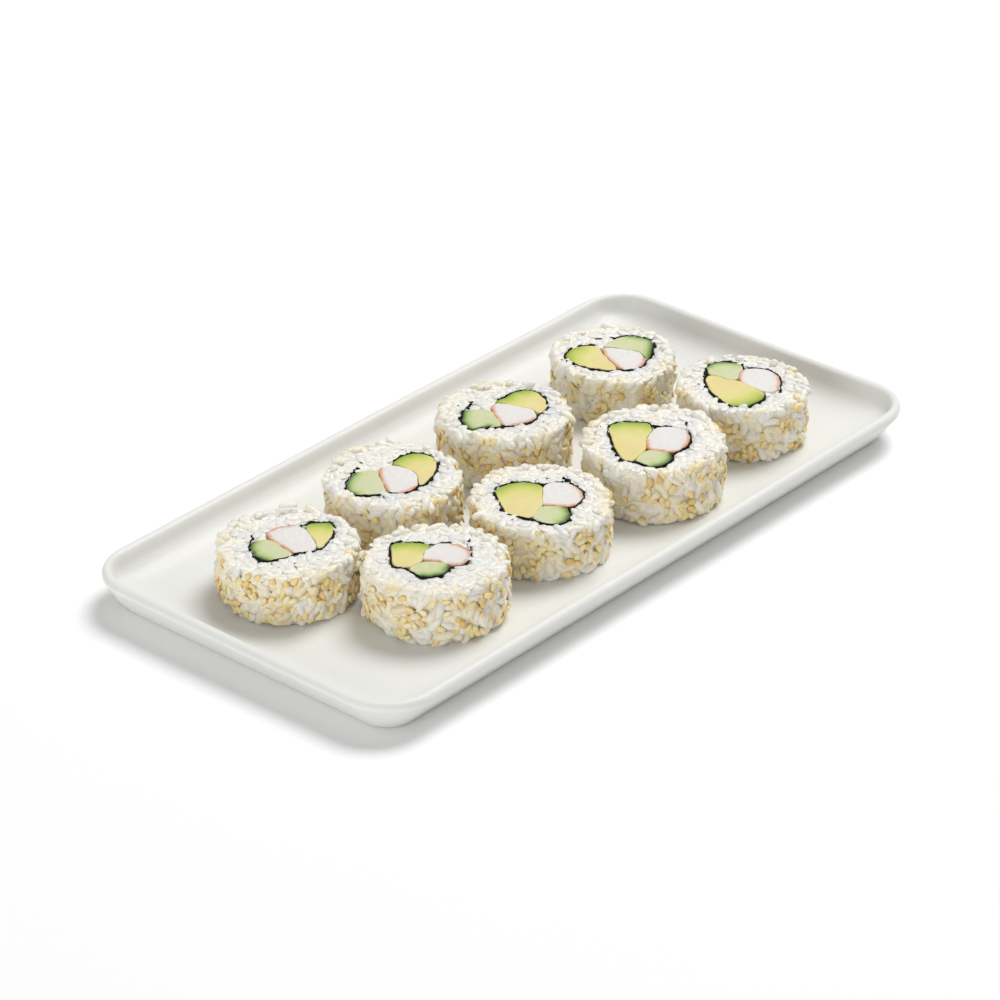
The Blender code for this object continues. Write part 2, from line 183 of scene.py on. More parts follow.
# corners of the quads between the rows of a grid: each row closes on itself, and with isTube the
# last row joins the first
def gridQuads(rowCount, columnCount, isTube=False):
    lowerRows = np.arange(rowCount if isTube else rowCount - 1)
    row, column = np.meshgrid(lowerRows, np.arange(columnCount), indexing="ij")
    upper = (row + 1) % rowCount
    following = (column + 1) % columnCount
    return np.stack((
        row * columnCount + column,
        row * columnCount + following,
        upper * columnCount + following,
        upper * columnCount + column,
    ), axis=-1).reshape(-1, 4)


# grid of quads with a fan of triangles over each end, to the mean of the row there
def gridMesh(name, rows):
    rowCount, columnCount = rows.shape[:2]
    vertices = np.vstack((rows.reshape(-1, 3), rows[0].mean(axis=0), rows[-1].mean(axis=0)))
    quads = gridQuads(rowCount, columnCount)
    around = np.arange(columnCount)
    after = (around + 1) % columnCount
    first = rowCount * columnCount
    last = (rowCount - 1) * columnCount
    startFan = np.stack((np.full(columnCount, first), after, around), axis=-1)
    endFan = np.stack((np.full(columnCount, first + 1), last + around, last + after), axis=-1)
    corners = np.concatenate((quads.reshape(-1), startFan.reshape(-1), endFan.reshape(-1)))
    sizes = np.concatenate((np.full(len(quads), 4), np.full(2 * columnCount, 3)))
    return meshFromArrays(name, vertices, corners, sizes), vertices


# one number stored at each point of a mesh
def setValues(mesh, name, values):
    attribute = mesh.attributes.new(name, "FLOAT", "POINT")
    attribute.data.foreach_set("value", np.asarray(values, np.float32))


# piece at the origin, riding on the root body, with its material and the nodes it stands for
def addPiece(name, mesh, material, replaced=()):
    piece = bpy.data.objects.new(name, mesh)
    bpy.context.scene.collection.objects.link(piece)
    mesh.materials.append(material)
    mesh.shade_smooth()
    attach(piece, "root")
    if replaced:
        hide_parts(*replaced)


# one small shape copied to many places: its points times the copy's size, times its three axes, plus
# its place. Every point of a copy has the copy's tone
def scatterCopies(shape, places, axes, sizes, tones):
    points, corners, faceSizes = shape
    scaled = points[None, :, :] * sizes[:, None, :]
    vertices = np.einsum("nvk,nkj->nvj", scaled, axes) + places[:, None, :]
    count = len(places)
    allCorners = (corners[None, :] + np.arange(count)[:, None] * len(points)).reshape(-1)
    return vertices, allCorners, np.tile(faceSizes, count), np.repeat(tones, len(points))


# grain round X, 2 long and about 2 wide: its half width is (1 - run ** fullness) ** (1 / fullness)
# at each run from -1 to 1, narrowed towards one end by taper, bent by bend, and flattened in height
def kernelShape(around, along, fullness, bend, taper, flatness):
    slant = np.linspace(0, math.pi, along + 2)[1:-1]
    run = -np.cos(slant)
    width = (1 - np.abs(run) ** fullness) ** (1 / fullness) * (1 - taper * run)
    turn = np.linspace(0, tau, around, endpoint=False)
    x = np.repeat(run, around)
    y = np.outer(width, np.cos(turn)).reshape(-1) + bend * np.repeat(run ** 2, around)
    z = np.outer(width, np.sin(turn)).reshape(-1) * flatness
    points = np.vstack((np.column_stack((x, y, z)), [[-1, bend, 0], [1, bend, 0]]))
    ring = np.arange(around)
    after = (ring + 1) % around
    quads = gridQuads(along, around)[:, ::-1].reshape(-1)
    tip = along * around
    lastRing = (along - 1) * around
    startFan = np.stack((np.full(around, tip), ring, after), axis=-1)
    endFan = np.stack((np.full(around, tip + 1), after + lastRing, ring + lastRing), axis=-1)
    faceSizes = np.concatenate((np.full((along - 1) * around, 4), np.full(2 * around, 3)))
    return points, np.concatenate((quads, startFan.reshape(-1), endFan.reshape(-1))), faceSizes


# three perpendicular axes for each copy: along the surface at the angle spin, tipped out of it by
# the angle tip, and then across both
def surfaceAxes(outward, sideways, spin, tip):
    outward = outward / np.linalg.norm(outward, axis=1)[:, None]
    upward = np.cross(outward, sideways)
    along = np.cos(spin)[:, None] * sideways + np.sin(spin)[:, None] * upward
    along = np.cos(tip)[:, None] * along + np.sin(tip)[:, None] * outward
    across = np.cross(outward, along)
    across /= np.linalg.norm(across, axis=1)[:, None]
    return np.stack((along, across, np.cross(along, across)), axis=1)


# material with fixed values, each given by its socket's name with _ for a space
def newMaterial(name, roughness, **fixed):
    material = bpy.data.materials.new(name)
    material.use_nodes = True
    shader = material.node_tree.nodes["Principled BSDF"]
    shader.inputs["Roughness"].default_value = roughness
    for socket, value in fixed.items():
        shader.inputs[socket.replace("_", " ")].default_value = value
    return material, material.node_tree, shader


# node with its settings, its inputs being either values or other nodes' sockets
def addNode(tree, kind, inputs=None, **settings):
    node = tree.nodes.new(kind)
    for key, value in settings.items():
        setattr(node, key, value)
    for socket, value in (inputs or {}).items():
        if isinstance(value, bpy.types.NodeSocket):
            tree.links.new(value, node.inputs[socket])
        else:
            node.inputs[socket].default_value = value
    return node


# empty node group with named inputs and outputs
def newGroup(name, inputs, outputs):
    group = bpy.data.node_groups.new(name, "ShaderNodeTree")
    for socketName, kind, value in inputs:
        socket = group.interface.new_socket(socketName, in_out="INPUT", socket_type=kind)
        socket.default_value = value
    for socketName, kind in outputs:
        group.interface.new_socket(socketName, in_out="OUTPUT", socket_type=kind)
    return group, group.nodes.new("NodeGroupInput"), group.nodes.new("NodeGroupOutput")


# what the group puts out, joined to its last node
def finishGroup(group, result, outputs):
    for socket, value in outputs.items():
        group.links.new(value, result.inputs[socket])
    return group


# drift of colour in soft patches: noise, stretched to 0..1 and times an amount, mixes two colours
def makeToneDrift():
    group, given, result = newGroup(
        "toneDrift",
        [("Colour", "NodeSocketColor", (1, 1, 1, 1)),
         ("Second colour", "NodeSocketColor", (1, 1, 1, 1)),
         ("Patches per metre", "NodeSocketFloat", 200.0),
         ("Amount", "NodeSocketFloat", 0.5)],
        [("Colour", "NodeSocketColor")],
    )
    place = addNode(group, "ShaderNodeTexCoord")
    noise = addNode(group, "ShaderNodeTexNoise", {
        "Vector": place.outputs["Object"], "Scale": given.outputs["Patches per metre"],
        "Detail": 3.0, "Roughness": 0.6,
    })
    stretch = addNode(group, "ShaderNodeMapRange", {
        "Value": noise.outputs["Fac"], "From Min": 0.35, "From Max": 0.65,
    })
    share = addNode(group, "ShaderNodeMath", {0: stretch.outputs["Result"], 1: given.outputs["Amount"]},
                    operation="MULTIPLY")
    mix = addNode(group, "ShaderNodeMix", {
        "Factor": share.outputs[0], "A": given.outputs["Colour"], "B": given.outputs["Second colour"],
    }, data_type="RGBA")
    return finishGroup(group, result, {"Colour": mix.outputs["Result"]})


# relief: coarse noise plus a share of fine noise
def makeRelief():
    group, given, result = newGroup(
        "relief",
        [("Coarse per metre", "NodeSocketFloat", 300.0), ("Fine per metre", "NodeSocketFloat", 1500.0),
         ("Fine share", "NodeSocketFloat", 0.3)],
        [("Height", "NodeSocketFloat")],
    )
    place = addNode(group, "ShaderNodeTexCoord")
    coarse = addNode(group, "ShaderNodeTexNoise", {
        "Vector": place.outputs["Object"], "Scale": given.outputs["Coarse per metre"], "Detail": 1.0,
    })
    fine = addNode(group, "ShaderNodeTexNoise", {
        "Vector": place.outputs["Object"], "Scale": given.outputs["Fine per metre"], "Detail": 2.0,
    })
    share = addNode(group, "ShaderNodeMath", {0: fine.outputs["Fac"], 1: given.outputs["Fine share"]},
                    operation="MULTIPLY")
    total = addNode(group, "ShaderNodeMath", {0: coarse.outputs["Fac"], 1: share.outputs[0]},
                    operation="ADD")
    return finishGroup(group, result, {"Height": total.outputs[0]})


toneDrift = makeToneDrift()
relief = makeRelief()


# the colour, drifting towards a second one in patches, put on the material
def addTone(tree, shader, colour, second, patches, amount):
    drift = addNode(tree, "ShaderNodeGroup", {
        "Colour": colour, "Second colour": second, "Patches per metre": patches, "Amount": amount,
    }, node_tree=toneDrift)
    tree.links.new(drift.outputs["Colour"], shader.inputs["Base Color"])


# the relief, as deep as depth in metres, put on the material
def addRelief(tree, shader, coarse, fine, share, depth):
    height = addNode(tree, "ShaderNodeGroup", {
        "Coarse per metre": coarse, "Fine per metre": fine, "Fine share": share,
    }, node_tree=relief)
    bump = addNode(tree, "ShaderNodeBump", {
        "Height": height.outputs["Height"], "Distance": depth, "Strength": 1.0,
    })
    tree.links.new(bump.outputs["Normal"], shader.inputs["Normal"])


# colours laid along a value that is stored on the mesh, from 0 to reach
def colourAlong(tree, attributeName, reach, stops):
    value = addNode(tree, "ShaderNodeAttribute", attribute_name=attributeName)
    share = addNode(tree, "ShaderNodeMapRange", {"Value": value.outputs["Fac"], "From Max": reach})
    colours = addNode(tree, "ShaderNodeValToRGB", {"Fac": share.outputs["Result"]})
    elements = colours.color_ramp.elements
    while len(elements) < len(stops):
        elements.new(0.5)
    for element, (position, colour) in zip(elements, stops):
        element.position = position
        element.color = (*colour, 1)
    return colours.outputs["Color"]


# glaze, drifting between two near whites in broad patches, under a thin coat
def makeGlaze():
    material, tree, shader = newMaterial("whiteGlaze", 0.45, Specular_IOR_Level=0.22,
                                         Coat_Weight=0.07, Coat_Roughness=0.1, IOR=1.42)
    addTone(tree, shader, (0.796, 0.797, 0.773, 1), (0.77, 0.771, 0.744, 1), 22.0, 0.6)
    addRelief(tree, shader, 45.0, 160.0, 0.12, 0.00022)
    return material


# cooked rice, from golden where sesame lies thick, over cream, to the cool grey white by the hole
def makeRice(name, second):
    material, tree, shader = newMaterial(name, 0.42, Sheen_Weight=0.18, Sheen_Roughness=0.6)
    grainTone = colourAlong(tree, "tone", 1.0, [
        (0.0, (0.85, 0.68, 0.35)), (0.25, (0.91, 0.81, 0.56)), (0.5, (0.91, 0.87, 0.75)),
        (0.72, (0.89, 0.87, 0.805)), (1.0, (0.76, 0.755, 0.755))])
    addTone(tree, shader, grainTone, second, 380.0, 0.4)
    addRelief(tree, shader, 700.0, 2400.0, 0.4, 0.00018)
    return material


# sesame seeds, from pale to well toasted
def makeSesame():
    material, tree, shader = newMaterial("sesameSeeds", 0.42, Subsurface_Weight=0.1,
                                         Subsurface_Scale=0.8 * mm)
    seedTone = colourAlong(tree, "tone", 1.0, [
        (0.0, (0.96, 0.87, 0.58)), (0.4, (0.94, 0.78, 0.39)),
        (0.75, (0.87, 0.61, 0.21)), (1.0, (0.64, 0.35, 0.10))])
    addTone(tree, shader, seedTone, (0.86, 0.68, 0.33, 1), 900.0, 0.35)
    addRelief(tree, shader, 1500.0, 5000.0, 0.5, 0.00012)
    return material


# seaweed, near black with a hint of green in small patches
def makeSeaweed():
    material, tree, shader = newMaterial("seaweed", 0.55, Specular_IOR_Level=0.12)
    addTone(tree, shader, (0.002, 0.003, 0.002, 1), (0.007, 0.011, 0.005, 1), 500.0, 0.8)
    addRelief(tree, shader, 900.0, 4000.0, 0.6, 0.00025)
    return material


# avocado, by distance from the skin in mm: dark green, bright green, then yellow
def makeAvocado():
    material, tree, shader = newMaterial(
        "avocadoFlesh", 0.5, Specular_IOR_Level=0.3, Subsurface_Weight=0.12,
        Subsurface_Scale=1.5 * mm, Subsurface_Radius=(1.0, 0.8, 0.25))
    flesh = colourAlong(tree, "skinDistance", 23.0, [
        (0.0, (0.14, 0.25, 0.022)), (0.05, (0.33, 0.46, 0.06)), (0.14, (0.55, 0.61, 0.14)),
        (0.25, (0.73, 0.685, 0.25)), (0.43, (0.79, 0.685, 0.32)), (1.0, (0.76, 0.62, 0.25))])
    addTone(tree, shader, flesh, (0.70, 0.57, 0.19, 1), 160.0, 0.25)
    addRelief(tree, shader, 420.0, 1600.0, 0.3, 0.00012)
    return material


# cucumber, by distance from the skin in mm: near black, green, then pale green
def makeCucumber():
    material, tree, shader = newMaterial(
        "cucumberFlesh", 0.42, Specular_IOR_Level=0.35, Subsurface_Weight=0.15,
        Subsurface_Scale=1.8 * mm, Subsurface_Radius=(0.8, 1.0, 0.4))
    flesh = colourAlong(tree, "skinDistance", 10.0, [
        (0.0, (0.016, 0.045, 0.008)), (0.045, (0.05, 0.12, 0.018)), (0.1, (0.21, 0.34, 0.075)),
        (0.19, (0.47, 0.56, 0.22)), (0.34, (0.63, 0.655, 0.38)), (1.0, (0.67, 0.68, 0.44))])
    addTone(tree, shader, flesh, (0.50, 0.60, 0.27, 1), 420.0, 0.2)
    addRelief(tree, shader, 600.0, 2200.0, 0.4, 0.00013)
    return material


# crab stick, by distance from the skin in mm: orange red, pink, then white
def makeCrab():
    material, tree, shader = newMaterial(
        "crabStick", 0.5, Specular_IOR_Level=0.3, Subsurface_Weight=0.18,
        Subsurface_Scale=1.5 * mm, Subsurface_Radius=(1.0, 0.6, 0.5))
    flesh = colourAlong(tree, "skinDistance", 8.0, [
        (0.0, (0.62, 0.21, 0.075)), (0.085, (0.71, 0.36, 0.20)), (0.15, (0.78, 0.63, 0.54)),
        (0.2, (0.785, 0.745, 0.71)), (0.6, (0.80, 0.775, 0.745)), (1.0, (0.80, 0.78, 0.75))])
    addTone(tree, shader, flesh, (0.74, 0.71, 0.71, 1), 380.0, 0.35)
    addRelief(tree, shader, 500.0, 2600.0, 0.5, 0.00016)
    return material


looks = {
    "glaze": makeGlaze(),
    "grain": makeRice("riceGrains", (0.80, 0.775, 0.70, 1)),
    "packedRice": makeRice("packedRice", (0.80, 0.755, 0.64, 1)),
    "sesame": makeSesame(),
    "seaweed": makeSeaweed(),
    "avocado": makeAvocado(),
    "cucumber": makeCucumber(),
    "crab": makeCrab(),
}
print("materials made")


plateShape = {
    "length": 250 * mm,
    "width": 125.8 * mm,
    "corner": 18 * mm,  # outermost radius; further in it is tighter, down to the smallest
    "cornerTightening": 1.5,
    "cornerSmallest": 9 * mm,
    "footInset": 7.4 * mm,
    "footRound": 0.9 * mm,
    "wallBulge": 0.35 * mm,
    "lipRadius": 1.95 * mm,
    "lipCentre": 10.6 * mm,
    "lipShelf": 0.4 * mm,
    "floorTop": 4 * mm,
    "bowlRun": 13 * mm,
    "rimRise": 0.22 * mm,
    "rimSway": 0.30 * mm,
}


# outline of the plate as a template: which corner circle each point belongs to, as the signs of its
# x and y, and the point's angle on that circle. Along a side the signs run from one to the other
def roundedTemplate(cornerSteps, longSteps, shortSteps):
    signs = ((1, -1), (1, 1), (-1, 1), (-1, -1))
    middles = []
    turns = []
    for quarter in range(4):
        here, following = signs[quarter], signs[(quarter + 1) % 4]
        corner = math.radians(90 * quarter - 90) + np.linspace(0, math.pi / 2, cornerSteps)
        turns.append(corner)
        middles.append(np.tile(here, (cornerSteps, 1)))
        steps = shortSteps if quarter % 2 == 0 else longSteps
        share = (np.arange(steps) + 1) / (steps + 1)
        turns.append(np.full(steps, corner[-1]))
        middles.append(np.outer(1 - share, here) + np.outer(share, following))
    return np.vstack(middles), np.concatenate(turns)


# section of the plate from under the foot, up the outside, over the lip and down to the flat floor,
# as pairs of inset and height: a quarter circle, a wall with a sine's bulge, most of a circle for the
# lip, and a quarter ellipse for the inner wall, all smoothed twice
def plateSection(shape):
    lip, middle, footRound = shape["lipRadius"], shape["lipCentre"], shape["footRound"]
    foot = np.linspace(0, math.pi / 2, 6)
    footCurve = np.column_stack((
        shape["footInset"] + footRound - footRound * np.sin(foot), footRound * (1 - np.cos(foot))))
    rise = np.linspace(0.08, 1, 12)
    wallTop = np.array([lip * 0.75, middle - lip])
    bulge = shape["wallBulge"] * np.sin(rise * math.pi)
    wall = footCurve[-1] + (wallTop - footCurve[-1]) * rise[:, None]
    wall = wall - np.column_stack((bulge, -0.3 * bulge))
    turn = np.radians(np.linspace(205, 20, 22))
    lipCurve = np.column_stack((lip + lip * np.cos(turn), middle + lip * np.sin(turn)))
    dip = np.radians(np.linspace(4, 90, 22))
    bowl = np.column_stack((
        2 * lip + shape["lipShelf"] + shape["bowlRun"] * (1 - np.cos(dip)),
        middle - (middle - shape["floorTop"]) * np.sin(dip)))
    section = np.vstack((footCurve, wall, lipCurve, bowl))
    for _ in range(2):
        section[1:-1] = 0.5 * section[1:-1] + 0.25 * (section[:-2] + section[2:])
    return section


# the section carried round the outline; slow sines along the way round raise and widen the rim a
# little, by the square of the height so that the foot stays as it is
def makePlate(shape):
    middles, turns = roundedTemplate(22, 90, 44)
    inset, height = plateSection(shape).T
    radius = np.maximum(shape["corner"] - shape["cornerTightening"] * inset, shape["cornerSmallest"])
    straightX = (shape["length"] / 2 - inset - radius)[:, None]
    straightY = (shape["width"] / 2 - inset - radius)[:, None]
    x = middles[:, 0] * straightX + radius[:, None] * np.cos(turns)
    y = middles[:, 1] * straightY + radius[:, None] * np.sin(turns)
    way = tau * np.arange(len(turns)) / len(turns)
    top = shape["lipCentre"] + shape["lipRadius"]
    share = ((height / top) ** 2 * (height > shape["floorTop"] + 0.05 * mm))[:, None]
    rise = shape["rimRise"] * (np.sin(2 * way + 0.6) + 0.7 * np.sin(5 * way + 2.1))
    sway = shape["rimSway"] * (np.sin(3 * way + 1.0) + 0.6 * np.sin(7 * way))
    far = np.hypot(x, y)
    x = x + x / far * sway * share
    y = y + y / far * sway * share
    z = height[:, None] + rise * share
    mesh, _ = gridMesh("plate_glazed", np.stack((x, y, z), axis=-1))
    addPiece("plate_glazed", mesh, looks["glaze"], ["plate"])


makePlate(plateShape)
print("plate made")


fillingShape = {
    "columns": 112,
    "edge": 0.35 * mm,  # radius of the round between side and cut face
    "swell": 0.38 * mm,  # how far the side stands out past the node
    "unevenness": 0.10 * mm,
    "footInset": 0.8 * mm,
    "footRise": 0.4 * mm,
    "detour": 12 * mm,  # extra distance from parts of the outline that have no skin
    "avocado": {"proud": 0.22 * mm, "relief": 0.10 * mm, "size": 5 * mm, "skinSpread": 0.35},
    "cucumber": {"proud": 0.28 * mm, "relief": 0.07 * mm, "size": 3 * mm, "skinSpread": 0.2},
    "crab": {"proud": 0.25 * mm, "relief": 0.09 * mm, "size": 2.2 * mm, "skinSpread": 0.55},
}


# distance of every point to the outline, counted longer where the outline faces away from the skin
def skinDistance(points, outline, facing, spread):
    tangent = np.roll(outline, -1, axis=0) - np.roll(outline, 1, axis=0)
    normal = np.column_stack((tangent[:, 1], -tangent[:, 0]))
    normal /= np.linalg.norm(normal, axis=1)[:, None]
    best = np.full(len(points), 1.0)
    for angle in facing:
        direction = np.array([math.cos(angle), math.sin(angle)])
        detour = fillingShape["detour"] * (1 - ramp(normal @ direction, spread, spread + 0.35))
        away = np.linalg.norm(points[:, None, :] - outline[None, :, :], axis=2)
        best = np.minimum(best, (away + detour).min(axis=1))
    return best / mm


# outline drawn in row by row: up the side, over a small round edge, then across the top to the
# middle. The top follows the roll's cut face, a little proud of it, with low bumps
def makeFilling(number, kind):
    nodeName = f"roll_{number}_{kind}"
    shape, values = fillingShape, fillingShape[kind]
    loop = counterClockwise(undersideLoops(nodeName)[0])
    loop = softLoop(evenLoop(loop, shape["columns"]), 1)
    middle = loop.mean(axis=0)
    outward = loop - middle
    outward = outward / np.linalg.norm(outward, axis=1)[:, None]
    uneven = shape["unevenness"] * waves(loop, 4 * mm, number * 7)
    outline = loop + outward * (shape["swell"] + uneven)[:, None]
    plane = upperPlane(f"roll_{number}_rice")
    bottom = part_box(nodeName)[0].z

    # the side and its edge, as inset, share of the height, and a step past that height
    side = [(shape["footInset"], 0, 0), (0, 0, shape["footRise"]), (0, 0.4, 0), (0, 0.8, 0)]
    for turn in np.radians([0, 25, 50, 72, 90]):
        side.append((shape["edge"] * (1 - math.cos(turn)), 1, shape["edge"] * (math.sin(turn) - 1)))
    rows = []
    for inset, share, step in side:
        spots = outline - outward * inset
        top = planeHeight(plane, spots[:, 0], spots[:, 1]) + values["proud"]
        rows.append(np.column_stack((spots, bottom + (top - bottom) * share + step)))
    rim = rows[-1][:, :2]
    for share in (0.9, 0.8, 0.69, 0.58, 0.47, 0.36, 0.25, 0.14, 0.05):
        spots = middle + (rim - middle) * share
        top = planeHeight(plane, spots[:, 0], spots[:, 1]) + values["proud"]
        rows.append(np.column_stack((spots, top)))
    rows = np.array(rows)
    bumpiness = np.zeros(len(rows))
    bumpiness[len(side) - 1:] = 1.0
    bumpiness[len(side) - 2] = 0.6
    bumps = waves(rows[:, :, :2], values["size"], number * 31 + len(kind))
    rows[:, :, 2] += values["relief"] * bumps * bumpiness[:, None]
    mesh, vertices = gridMesh(nodeName + "_cut", rows)
    facing = np.radians(np.atleast_1d(rollLooks[number][kind])) + rollTurn
    distances = skinDistance(vertices[:, :2], outline, facing, values["skinSpread"])
    setValues(mesh, "skinDistance", distances)
    addPiece(nodeName + "_cut", mesh, looks[kind], [nodeName])
    return outline


noriShape = {
    "thickness": 0.2 * mm,
    "nodeThickness": 0.6 * mm,  # of the node's strip, by which its two ends are found
    "steps": 190,
    "proud": 0.2 * mm,
    "raggedTop": 0.16 * mm,
    "sway": 0.14 * mm,
    "teeth": 0.75 * mm,  # how far the band's outer side spreads into the rice in places
    "touchReach": 0.14 * mm,  # how far its inner side bulges to meet a filling
    "fillReach": 0.8 * mm,  # and how much further it does so in places
}


# distance from each point to the nearest of the others
def nearest(points, others):
    return np.linalg.norm(points[:, None, :] - others[None, :, :], axis=2).min(axis=1)


# middle line of a node's closed strip: its two short ends are the pair of edges, half the loop
# apart, whose lengths are nearest to its thickness, and points across from each other are averaged
def stripMiddle(loop, thickness):
    half = len(loop) // 2
    misfit = np.abs(np.linalg.norm(loop - np.roll(loop, 1, axis=0), axis=1) - thickness)
    ends = np.argsort(misfit)[:12]
    pairs = [(a, b) for a in ends for b in ends if (b - a) % len(loop) == half]
    start = min(pairs, key=lambda pair: misfit[pair[0]] + misfit[pair[1]])[0]
    loop = np.roll(loop, -start, axis=0)
    return (loop[:half] + loop[half:][::-1]) / 2


# a thin band carried along the strip's middle line, with its thickness, way and upper edge uneven.
# The side towards the fillings fills the small gaps there, and the other spreads into the rice
def makeSeaweedBand(number, fillings):
    shape = noriShape
    nodeName = f"roll_{number}_nori"
    middleLine = stripMiddle(undersideLoops(nodeName)[0], shape["nodeThickness"])
    way = np.concatenate(([0], np.cumsum(np.linalg.norm(np.diff(middleLine, axis=0), axis=1))))
    steps = np.linspace(0, way[-1], shape["steps"])
    line = np.column_stack([np.interp(steps, way, middleLine[:, axis]) for axis in (0, 1)])
    for _ in range(3):
        line[1:-1] = 0.5 * line[1:-1] + 0.25 * (line[:-2] + line[2:])
    along = np.gradient(line, axis=0)
    along /= np.linalg.norm(along, axis=1)[:, None]
    across = np.column_stack((-along[:, 1], along[:, 0]))
    line = line + across * (shape["sway"] * waves(line, 2.5 * mm, number * 13))[:, None]
    everyFilling = np.vstack(fillings)
    sides = []
    for sign in (1, -1):
        edge = line + sign * across * shape["thickness"] / 2
        gap = nearest(edge, everyFilling)
        isInner = nearest(line + sign * across * mm, everyFilling) < nearest(
            line - sign * across * mm, everyFilling)
        ragged = 0.5 + 0.5 * waves(line, 1.6 * mm, number * 17 + sign)
        teeth = shape["teeth"] * ramp(waves(line, 3.0 * mm, number * 29 + sign), 0.45, 1.1)
        filled = np.clip(gap - 0.3 * mm, 0, shape["fillReach"]) * ramp(ragged, 0.55, 0.85)
        contact = np.clip(gap, 0, shape["touchReach"]) + filled
        thinness = shape["thickness"] * 0.45 * waves(line, 4 * mm, number * 37 + sign)
        extra = np.where(isInner, contact, teeth + thinness)
        sides.append(line + sign * across * (shape["thickness"] / 2 + extra)[:, None])
    plane = upperPlane(f"roll_{number}_rice")
    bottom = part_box(nodeName)[0].z
    corners = []
    for corner, spots in enumerate((sides[0], sides[0], sides[1], sides[1])):
        if corner in (0, 3):
            height = np.full(len(spots), bottom)
        else:
            height = planeHeight(plane, spots[:, 0], spots[:, 1]) + shape["proud"]
            height = height + shape["raggedTop"] * waves(spots, 1.8 * mm, number * 19 + corner)
        corners.append(np.column_stack((spots, height)))
    rows = np.array(corners).transpose(1, 0, 2)  # along the band, then round its section
    mesh, _ = gridMesh(nodeName + "_band", rows)
    if signedVolume(mesh) < 0:
        mesh.flip_normals()
    addPiece(nodeName + "_band", mesh, looks["seaweed"], [nodeName])
    mesh.set_sharp_from_angle(angle=math.radians(50))
    return line


# volume inside a closed mesh, negative if its faces point inwards: a sixth of the sum over its
# triangles of a cross b dot c
def signedVolume(mesh):
    mesh.calc_loop_triangles()
    corners = np.empty(len(mesh.loop_triangles) * 3, np.int32)
    mesh.loop_triangles.foreach_get("vertices", corners)
    a, b, c = pointsOf(mesh)[corners.reshape(-1, 3)].transpose(1, 0, 2)
    return (np.cross(a, b) * c).sum() / 6


coreShape = {
    "columns": 180,
    "inset": 1.05 * mm,  # from the roll's outline
    "drop": 0.3 * mm,  # from its cut face
    "roundBelow": 0.8 * mm,
    "roundAbove": 0.3 * mm,
    "shoulder": 0.7 * mm,
    "relief": 0.28 * mm,
    "reliefSize": 2.6 * mm,
}


# ring of packed rice: up the outside, in across the top, down the hole and back under, as pairs of
# reach and share of the height, turned round the middle and roughened where it can be seen
def makePackedRice(roll):
    shape, bottom = coreShape, roll["bottom"]
    angles = np.linspace(0, tau, shape["columns"], endpoint=False)
    direction = np.column_stack((np.cos(angles), np.sin(angles)))
    outer = roll["reach"](angles) - shape["inset"]
    inner = roll["holeReach"](angles)
    shoulder = outer - shape["shoulder"]
    section = []
    for share in np.linspace(0, 1, 9):
        drawnIn = shape["roundBelow"] * (1 - ramp(share, 0, 0.3))
        drawnIn = drawnIn + shape["roundAbove"] * ramp(share, 0.9, 1)
        section.append((outer - drawnIn, share))
    for share in np.linspace(0.06, 1, 15):
        section.append((shoulder + (inner - shoulder) * share, 1.0))
    for share in (0.75, 0.4, 0.0):
        section.append((inner, share))
    for share in (0.35, 0.7):
        section.append((inner + (shoulder - inner) * share, 0.0))
    rows = []
    for far, share in section:
        spots = roll["middle"] + direction * far[:, None]
        top = planeHeight(roll["plane"], spots[:, 0], spots[:, 1]) - shape["drop"]
        rows.append(np.column_stack((spots, bottom + (top - bottom) * share)))
    rows = np.array(rows)
    bumps = shape["relief"] * waves(rows, shape["reliefSize"], roll["number"] * 23)
    rows[:, :, 2] += bumps * (rows[:, :, 2] > bottom + 2 * mm)
    quads = gridQuads(*rows.shape[:2], isTube=True)
    name = f"roll_{roll['number']}_packed_rice"
    mesh = meshFromArrays(name, rows.reshape(-1, 3), quads.reshape(-1), np.full(len(quads), 4))
    height = rows[:, :, 2].reshape(-1)
    # below its top 2 mm the packed rice gets a lower, more golden tone, like the side grains: partly
    # painted shade
    setValues(mesh, "tone", 0.35 + 0.3 * (height > height.max() - 2 * mm))
    addPiece(name, mesh, looks["packedRice"], [roll["riceNode"]])


grainShape = {
    "length": (5.2 * mm, 7.0 * mm),
    "width": (2.6 * mm, 3.2 * mm),
    "roundBelow": 0.7 * mm,  # how far the roll's side draws in at its two cut faces
    "roundAbove": 0.3 * mm,
    "sideSpacing": 2.5 * mm,
    "sideDepth": 1.65 * mm,
    "sideScatter": 0.48 * mm,
    "topSpacing": 2.35 * mm,
    "topDepth": 0.8 * mm,
    "topScatter": 0.12 * mm,
    "topReach": 24 * mm,
    "fromHole": 0.7 * mm,
    "fromRim": 1.9 * mm,
    "loose": 32,
    "looseInset": (1.0 * mm, 2.6 * mm),
    "looseDepth": (0.2 * mm, 1.3 * mm),
    "looseStand": 1.2 * mm,  # how far the loose grains may stand over the cut face
    "firstStand": 3 * mm,  # and the first of them, which is the stray one where there is one
    "rimScatter": 0.34 * mm,
    "besideSeaweed": 0.34 * mm,
    "settle": 0.28 * mm,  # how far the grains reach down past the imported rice, onto the plate
}


# how far out the rice reaches at an angle and a share of the height: its outline, drawn in by ramps
# at both cut faces
def riceReach(reach, angle, share):
    shape = grainShape
    drawnIn = shape["roundBelow"] * (1 - ramp(share, -0.05, 0.3))
    return reach(angle) - drawnIn - shape["roundAbove"] * ramp(share, 0.9, 1.0)


# how thick the sesame lies at an angle and a height on the side of a roll, from 0 to 1.5: half of one
# plus waves, read on a cylinder
def seedPatches(number, angle, rise):
    onSide = np.column_stack((20 * mm * np.cos(angle), 20 * mm * np.sin(angle), rise))
    return np.clip(0.5 + 0.5 * waves(onSide, 10 * mm, number * 41), 0, 1.5)


